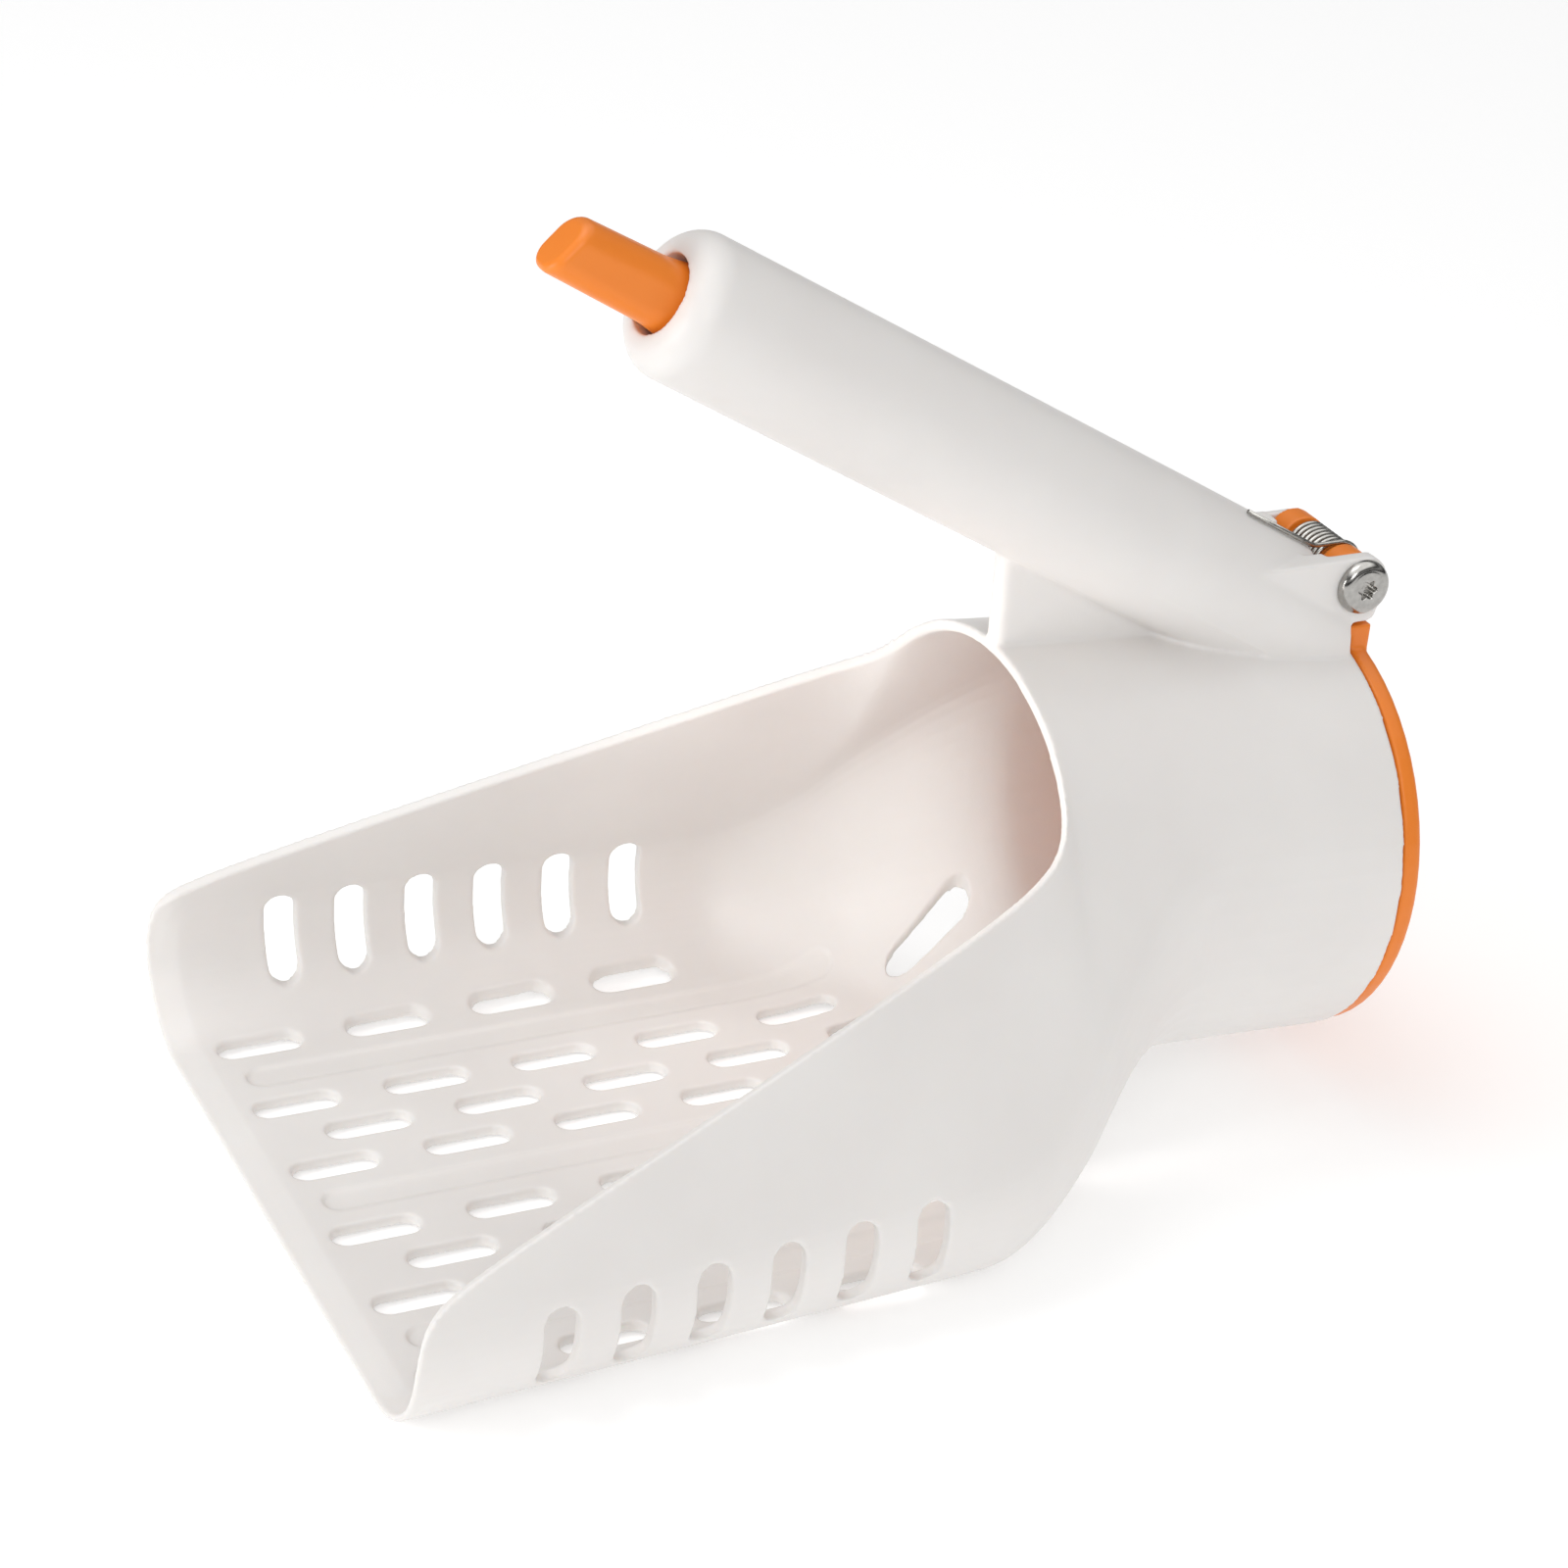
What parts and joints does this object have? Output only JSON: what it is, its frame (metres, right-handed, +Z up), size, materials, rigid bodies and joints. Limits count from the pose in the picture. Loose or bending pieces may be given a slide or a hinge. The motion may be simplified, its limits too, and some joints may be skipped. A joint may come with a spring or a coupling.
{
  "type": "sifting scoop",
  "caption": "Slotted sifting scoop with a tubular handle, a round discharge neck and a spring-closed rear flap opened by a thumb button in the handle's end.",
  "frame": {"origin": "on the underside of the flat floor, on the plane of symmetry, 60 mm behind the lip's front edge", "axes": "+X from the lip to the rear flap, +Y across the scoop, +Z up; the XZ plane is the plane of symmetry of tray, neck and handle"},
  "size_m": [0.2059, 0.1468, 0.1778],
  "materials": {
    "scoop_body": "satin moulded",
    "thumb_button": "satin moulded",
    "push_rod": "satin moulded",
    "pusher": "satin moulded",
    "rear_flap": "satin moulded",
    "torsion_spring": "drawn wire",
    "hinge_screw": "polished",
    "hinge_sleeve_nut": "polished"
  },
  "bodies": {
    "scoop": {"scoop_body": "scoop_body", "torsion_spring": "torsion_spring", "hinge_screw": "hinge_screw", "hinge_sleeve_nut": "hinge_sleeve_nut"},
    "plunger": {"thumb_button": "thumb_button", "push_rod": "push_rod", "pusher": "pusher"},
    "flap": {"rear_flap": "rear_flap"}
  },
  "joints": [
    {"name": "button_slide", "type": "slide", "parent": "scoop", "child": "plunger", "axis": [0.8652, 0, -0.5015], "range_m": [0, 0.005]},
    {"name": "flap_hinge", "type": "hinge", "parent": "scoop", "child": "flap", "pos_m": [0.1403, 0, 0.1], "axis": [0, -1, 0], "range_deg": [0, 41]}
  ],
  "couplings": [
    {"joint": "flap_hinge", "follows": "button_slide", "rad_per_m": 139.63}
  ]
}
